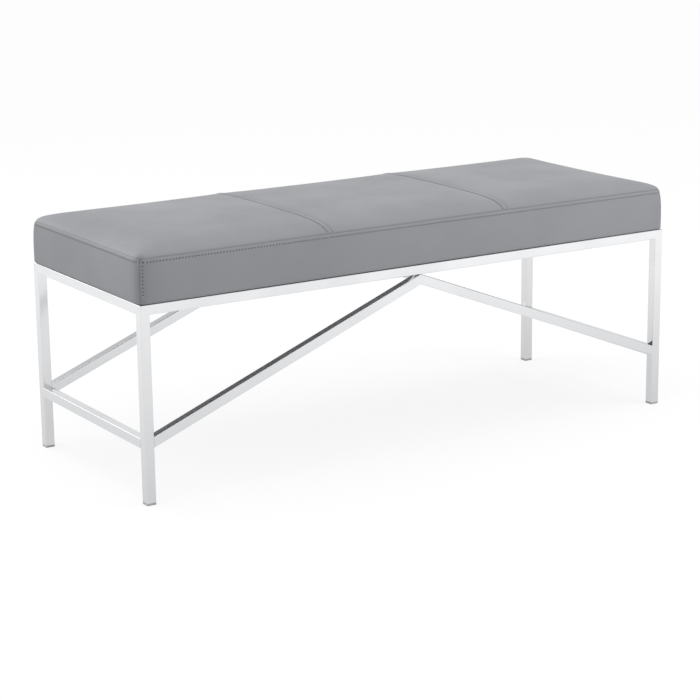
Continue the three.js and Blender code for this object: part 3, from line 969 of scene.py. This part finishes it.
seat = makeSeat()
print("seat made:", len(seat.data.polygons), "faces before rounding")

# Stitches, laid on the finished cover
stitching = {
    "pitch": 0.0065,
    "length": 0.0042,
    "width": 0.0016,
    "height": 0.0012,
    "liftShare": 0.15,
    "holeLength": 0.0022,
    "holeWidth": 0.0026,
    "holeHeight": 0.0006,
    "beadSides": 6,
    "beadRings": 4,
    "tilt": 5.0,
    "arcSteps": 12,
    "layStep": 0.010,
    "layFrom": 0.02,
    "fromEdge": 0.0055,
    "crossStep": 0.002,
    "crossFrom": 0.03,
    "besideCorner": 0.0060,
    "cornerStep": 0.004,
    "aboveHem": 0.007,
    "underEdge": 0.006,
}


def seatSurface():
    bm = bmesh.new()
    bm.from_object(seat, bpy.context.evaluated_depsgraph_get())
    tree = BVHTree.FromBMesh(bm)
    bm.free()
    return tree


def edgeRoute(z):
    corner = seatCushion["corner"]
    steps = stitching["arcSteps"]
    route = []
    quarters = [(1, -1, -90.0), (1, 1, 0.0), (-1, 1, 90.0), (-1, -1, 180.0)]
    for endSign, sideSign, startAngle in quarters:
        centre = Vector((endSign * (seatHalf.x - corner), sideSign * (seatHalf.y - corner), z))
        for step in range(steps + 1):
            angle = math.radians(startAngle + 90.0 * step / steps)
            route.append(centre + corner * Vector((math.cos(angle), math.sin(angle), 0.0)))
    return route + route[:1]


def walk(route, pitch):
    spots = []
    left = pitch / 2
    for start, end in zip(route, route[1:]):
        run = end - start
        length = run.length
        at = left
        while at <= length:
            spots.append((start + run * (at / length), run.normalized()))
            at += pitch
        left = at - length
    return spots


def layBandRoute(surface, points):
    straight = seatHalf.x - seatHalf.y
    laid = []
    for point in points:
        middle = Vector((max(-straight, min(straight, point.x)), 0.0, point.z))
        inward = (middle - point).normalized()
        laid.append(surface.ray_cast(point - inward * stitching["layFrom"], inward)[0])
    return laid + laid[:1]


def makeBead(name, size):
    bm = bmesh.new()
    sidesRound, rings = stitching["beadSides"], stitching["beadRings"]
    bmesh.ops.create_uvsphere(bm, u_segments=sidesRound, v_segments=rings, radius=0.5)
    bmesh.ops.scale(bm, verts=bm.verts, vec=size)
    bead = bpy.data.meshes.new(name)
    bm.to_mesh(bead)
    bm.free()
    return bead


def layBead(bm, bead, surface, spot, along, lift):
    place, normal = surface.find_nearest(spot)[:2]
    across = normal.cross(along).normalized()
    heading = across.cross(normal).normalized()
    turn = Matrix((across, normal, heading)).transposed().to_4x4()
    lean = Matrix.Rotation(math.radians(stitching["tilt"]), 4, "Y")
    put = Matrix.Translation(place + normal * lift) @ turn @ lean
    first = len(bm.verts)
    bm.from_mesh(bead)
    bm.verts.ensure_lookup_table()
    for vert in bm.verts[first:]:
        vert.co = put @ vert.co


stitchBead = makeBead("stitchBead", (stitching["width"], stitching["height"], stitching["length"]))
holeShadowBead = makeBead("holeShadowBead", (stitching["holeWidth"], stitching["holeHeight"], stitching["holeLength"]))


def sewRow(name, surface, route):
    thread = bmesh.new()
    holes = bmesh.new()
    lift = stitching["height"] * stitching["liftShare"]
    for spot, along in walk(route, stitching["pitch"]):
        layBead(thread, stitchBead, surface, spot, along, lift)
        # A dark bead of painted shade sits in each needle hole between the stitches
        layBead(holes, holeShadowBead, surface, spot + along * stitching["pitch"] / 2, along, 0.0)
    addPiece("stitches_" + name, thread, greyThread, "grey_leatherette").data.shade_smooth()
    addPiece("needle_hole_shadows_" + name, holes, seamShadow, "grey_leatherette").data.shade_smooth()


def sewEdge(surface):
    spots = walk(edgeRoute(seamLevel - seamWork["belowSeam"]), stitching["layStep"])
    sewRow("edge", surface, layBandRoute(surface, [spot for spot, along in spots]))


def sewCrossSeams(surface):
    step = stitching["crossStep"]
    inner = seatHalf.y - stitching["fromEdge"]
    above = seamLevel + stitching["crossFrom"]
    for at, line in enumerate(stripLines):
        points = [Vector((line, y, above)) for y in stationsBetween([-inner - step, inner], step)]
        route = [surface.ray_cast(point, Vector((0, 0, -1)))[0] for point in points]
        sewRow(f"cross_{at + 1}", surface, route)


def sewCorners(surface):
    corner = seatCushion["corner"]
    angle = math.pi / 4 - stitching["besideCorner"] / corner
    marks = [seatLow.z + stitching["aboveHem"], seamLevel - stitching["underEdge"]]
    for side, sideSign in sides.items():
        for end, endSign in ends.items():
            x = endSign * (seatHalf.x - corner + corner * math.sin(angle))
            y = sideSign * (seatHalf.y - corner + corner * math.cos(angle))
            points = [Vector((x, y, z)) for z in stationsBetween(marks, stitching["cornerStep"])]
            route = [surface.find_nearest(point)[0] for point in points]
            sewRow(f"corner_{side}_{end}", surface, route)


coverSurface = seatSurface()
sewEdge(coverSurface)
sewCrossSeams(coverSurface)
sewCorners(coverSurface)
print("stitches sewn")

# Dust cover: a thin sheet held along the rails and over the tabs, slack between them
dustSheet = {
    "grid": 0.015,
    "slack": 0.0045,
    "endEase": 6.0,
    "sideEase": 1.6,
    "wrinkle": 0.0008,
    "wrinklePitch": 0.06,
    "heldReach": 0.05,
    "heldFade": 4,
}
tabNodes = [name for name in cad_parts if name.startswith("seat_tab_")]


def makeDustCover():
    low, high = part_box("dust_cover")
    thickness = high.z - low.z
    half = (high - low) / 2
    tabs = [(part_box(name)[0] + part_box(name)[1]) / 2 for name in tabNodes]
    bm = bmesh.new()
    columns = round(2 * half.x / dustSheet["grid"])
    rows = round(2 * half.y / dustSheet["grid"])
    bmesh.ops.create_grid(bm, x_segments=columns, y_segments=rows, size=1.0)
    bmesh.ops.scale(bm, verts=bm.verts, vec=(half.x, half.y, 1.0))
    for vert in bm.verts:
        inX = max(0.0, 1.0 - abs(vert.co.x) / (half.x - tubeSide))
        inY = max(0.0, 1.0 - abs(vert.co.y) / (half.y - tubeSide))
        free = math.sqrt(min(1.0, inX * dustSheet["endEase"]) * min(1.0, inY * dustSheet["sideEase"]))
        for tab in tabs:
            away = math.hypot(vert.co.x - tab.x, vert.co.y - tab.y) / dustSheet["heldReach"]
            free *= 1.0 - math.exp(-away ** dustSheet["heldFade"])
        ripple = noise.noise(vert.co / dustSheet["wrinklePitch"]) * dustSheet["wrinkle"]
        vert.co.z = high.z - thickness / 2 - free * (dustSheet["slack"] + ripple)
    cover = addPiece("dust_sheet", bm, greyFelt, "grey_felt", "dust_cover")
    cover.data.shade_smooth()
    wall = cover.modifiers.new("wall", "SOLIDIFY")
    wall.thickness = thickness
    wall.offset = 0.0


makeDustCover()
print("dust cover hung")

# Pieces kept from the model, by how their names start, with their own finishes
keptFinishes = {
    "seat_tab_": polishedPlate,
    "seat_bolt_": zincPlating,
    "washer_": zincPlating,
    "tee_nut_": zincPlating,
    "seat_board": seatPlywood,
}
for prefix, finish in keptFinishes.items():
    for name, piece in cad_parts.items():
        if name.startswith(prefix):
            piece.data.materials.clear()
            piece.data.materials.append(finish)
print("kept pieces dressed")

# Studio: a white floor that keeps a soft shadow, an even white surround, and soft lamps
studio = {
    "floorSize": 60.0,
    "floorColour": (0.64, 0.64, 0.64),
    "floorWhite": 1.1,
    "floorShare": 0.75,
    "surround": 0.48,
    "overheadGlint": 0.42,
    "glintFrom": 0.3,
    "glintTo": 0.6,
}
lamps = {
    "overheadSoft": {"kind": "SUN", "from": (-0.25, -0.15, 1.0), "strength": 1.42, "angle": 70.0},
    "endSoft": {"kind": "SUN", "from": (-1.0, 0.35, 0.35), "strength": 0.52, "angle": 60.0},
    "windowSoft": {
        "kind": "AREA",
        "place": (-1.35, 2.46, 2.0),
        "aim": (-0.5, 0.0, 0.45),
        "strength": 26.0,
        "size": 2.2,
    },
    "rightSoft": {
        "kind": "AREA",
        "place": (2.0, -1.9, 1.2),
        "aim": (0.6, -0.2, 0.4),
        "strength": 33.0,
        "size": 1.6,
        "glints": False,
    },
}


def seenDirectly(tree, light):
    seen = joinValues(tree, "MAXIMUM", light.outputs["Is Camera Ray"], light.outputs["Is Glossy Ray"])
    return joinValues(tree, "MAXIMUM", seen, light.outputs["Is Transmission Ray"])


def makeFloor():
    material = bpy.data.materials.new("paleFloor")
    material.use_nodes = True
    tree = material.node_tree
    tree.nodes.clear()
    output = addNode(tree, "ShaderNodeOutputMaterial")
    matt = addNode(tree, "ShaderNodeBsdfDiffuse")
    matt.inputs["Color"].default_value = (*studio["floorColour"], 1.0)
    white = addNode(tree, "ShaderNodeEmission")
    white.inputs["Strength"].default_value = studio["floorWhite"]
    mixed = addNode(tree, "ShaderNodeMixShader")
    direct = seenDirectly(tree, addNode(tree, "ShaderNodeLightPath"))
    wire(tree, shareTo(tree, direct, 0.0, studio["floorShare"]), mixed.inputs["Fac"])
    wire(tree, matt.outputs[0], mixed.inputs[1])
    wire(tree, white.outputs[0], mixed.inputs[2])
    wire(tree, mixed.outputs[0], output.inputs["Surface"])
    bm = bmesh.new()
    bmesh.ops.create_grid(bm, x_segments=1, y_segments=1, size=studio["floorSize"] / 2)
    mesh = bpy.data.meshes.new("studio_floor")
    bm.to_mesh(mesh)
    bm.free()
    mesh.materials.append(material)
    floor = bpy.data.objects.new("studio_floor", mesh)
    scene.collection.objects.link(floor)


def makeSurround():
    world = bpy.data.worlds.new("whiteSurround")
    world.use_nodes = True
    tree = world.node_tree
    tree.nodes.clear()
    output = addNode(tree, "ShaderNodeOutputWorld")
    sky = addNode(tree, "ShaderNodeBackground")
    sky.inputs["Color"].default_value = (1.0, 1.0, 1.0, 1.0)
    light = addNode(tree, "ShaderNodeLightPath")
    direct = shareTo(tree, seenDirectly(tree, light), studio["surround"], 1.0)
    upward = splitAxes(tree, addNode(tree, "ShaderNodeTexCoord").outputs["Generated"])["Z"]
    glint = mapRange(tree, upward, studio["glintFrom"], studio["glintTo"], 1.0, studio["overheadGlint"])
    strength = addNode(tree, "ShaderNodeMix", data_type="FLOAT")
    wire(tree, light.outputs["Is Glossy Ray"], strength.inputs["Factor"])
    wire(tree, direct, strength.inputs[valueMix["first"]])
    wire(tree, glint, strength.inputs[valueMix["second"]])
    wire(tree, strength.outputs[valueMix["result"]], sky.inputs["Strength"])
    wire(tree, sky.outputs[0], output.inputs["Surface"])
    scene.world = world


def addLamp(name, lamp):
    data = bpy.data.lights.new(name, lamp["kind"])
    data.energy = lamp["strength"]
    piece = bpy.data.objects.new(name, data)
    scene.collection.objects.link(piece)
    piece.visible_glossy = lamp.get("glints", True)
    if lamp["kind"] == "SUN":
        data.angle = math.radians(lamp["angle"])
        direction = -Vector(lamp["from"])
    else:
        data.size = lamp["size"]
        piece.location = lamp["place"]
        direction = Vector(lamp["aim"]) - Vector(lamp["place"])
    piece.rotation_euler = direction.to_track_quat("-Z", "Y").to_euler()


makeFloor()
makeSurround()
for lampName, lampFacts in lamps.items():
    addLamp(lampName, lampFacts)
scene.view_settings.view_transform = "Standard"
print("studio lit")
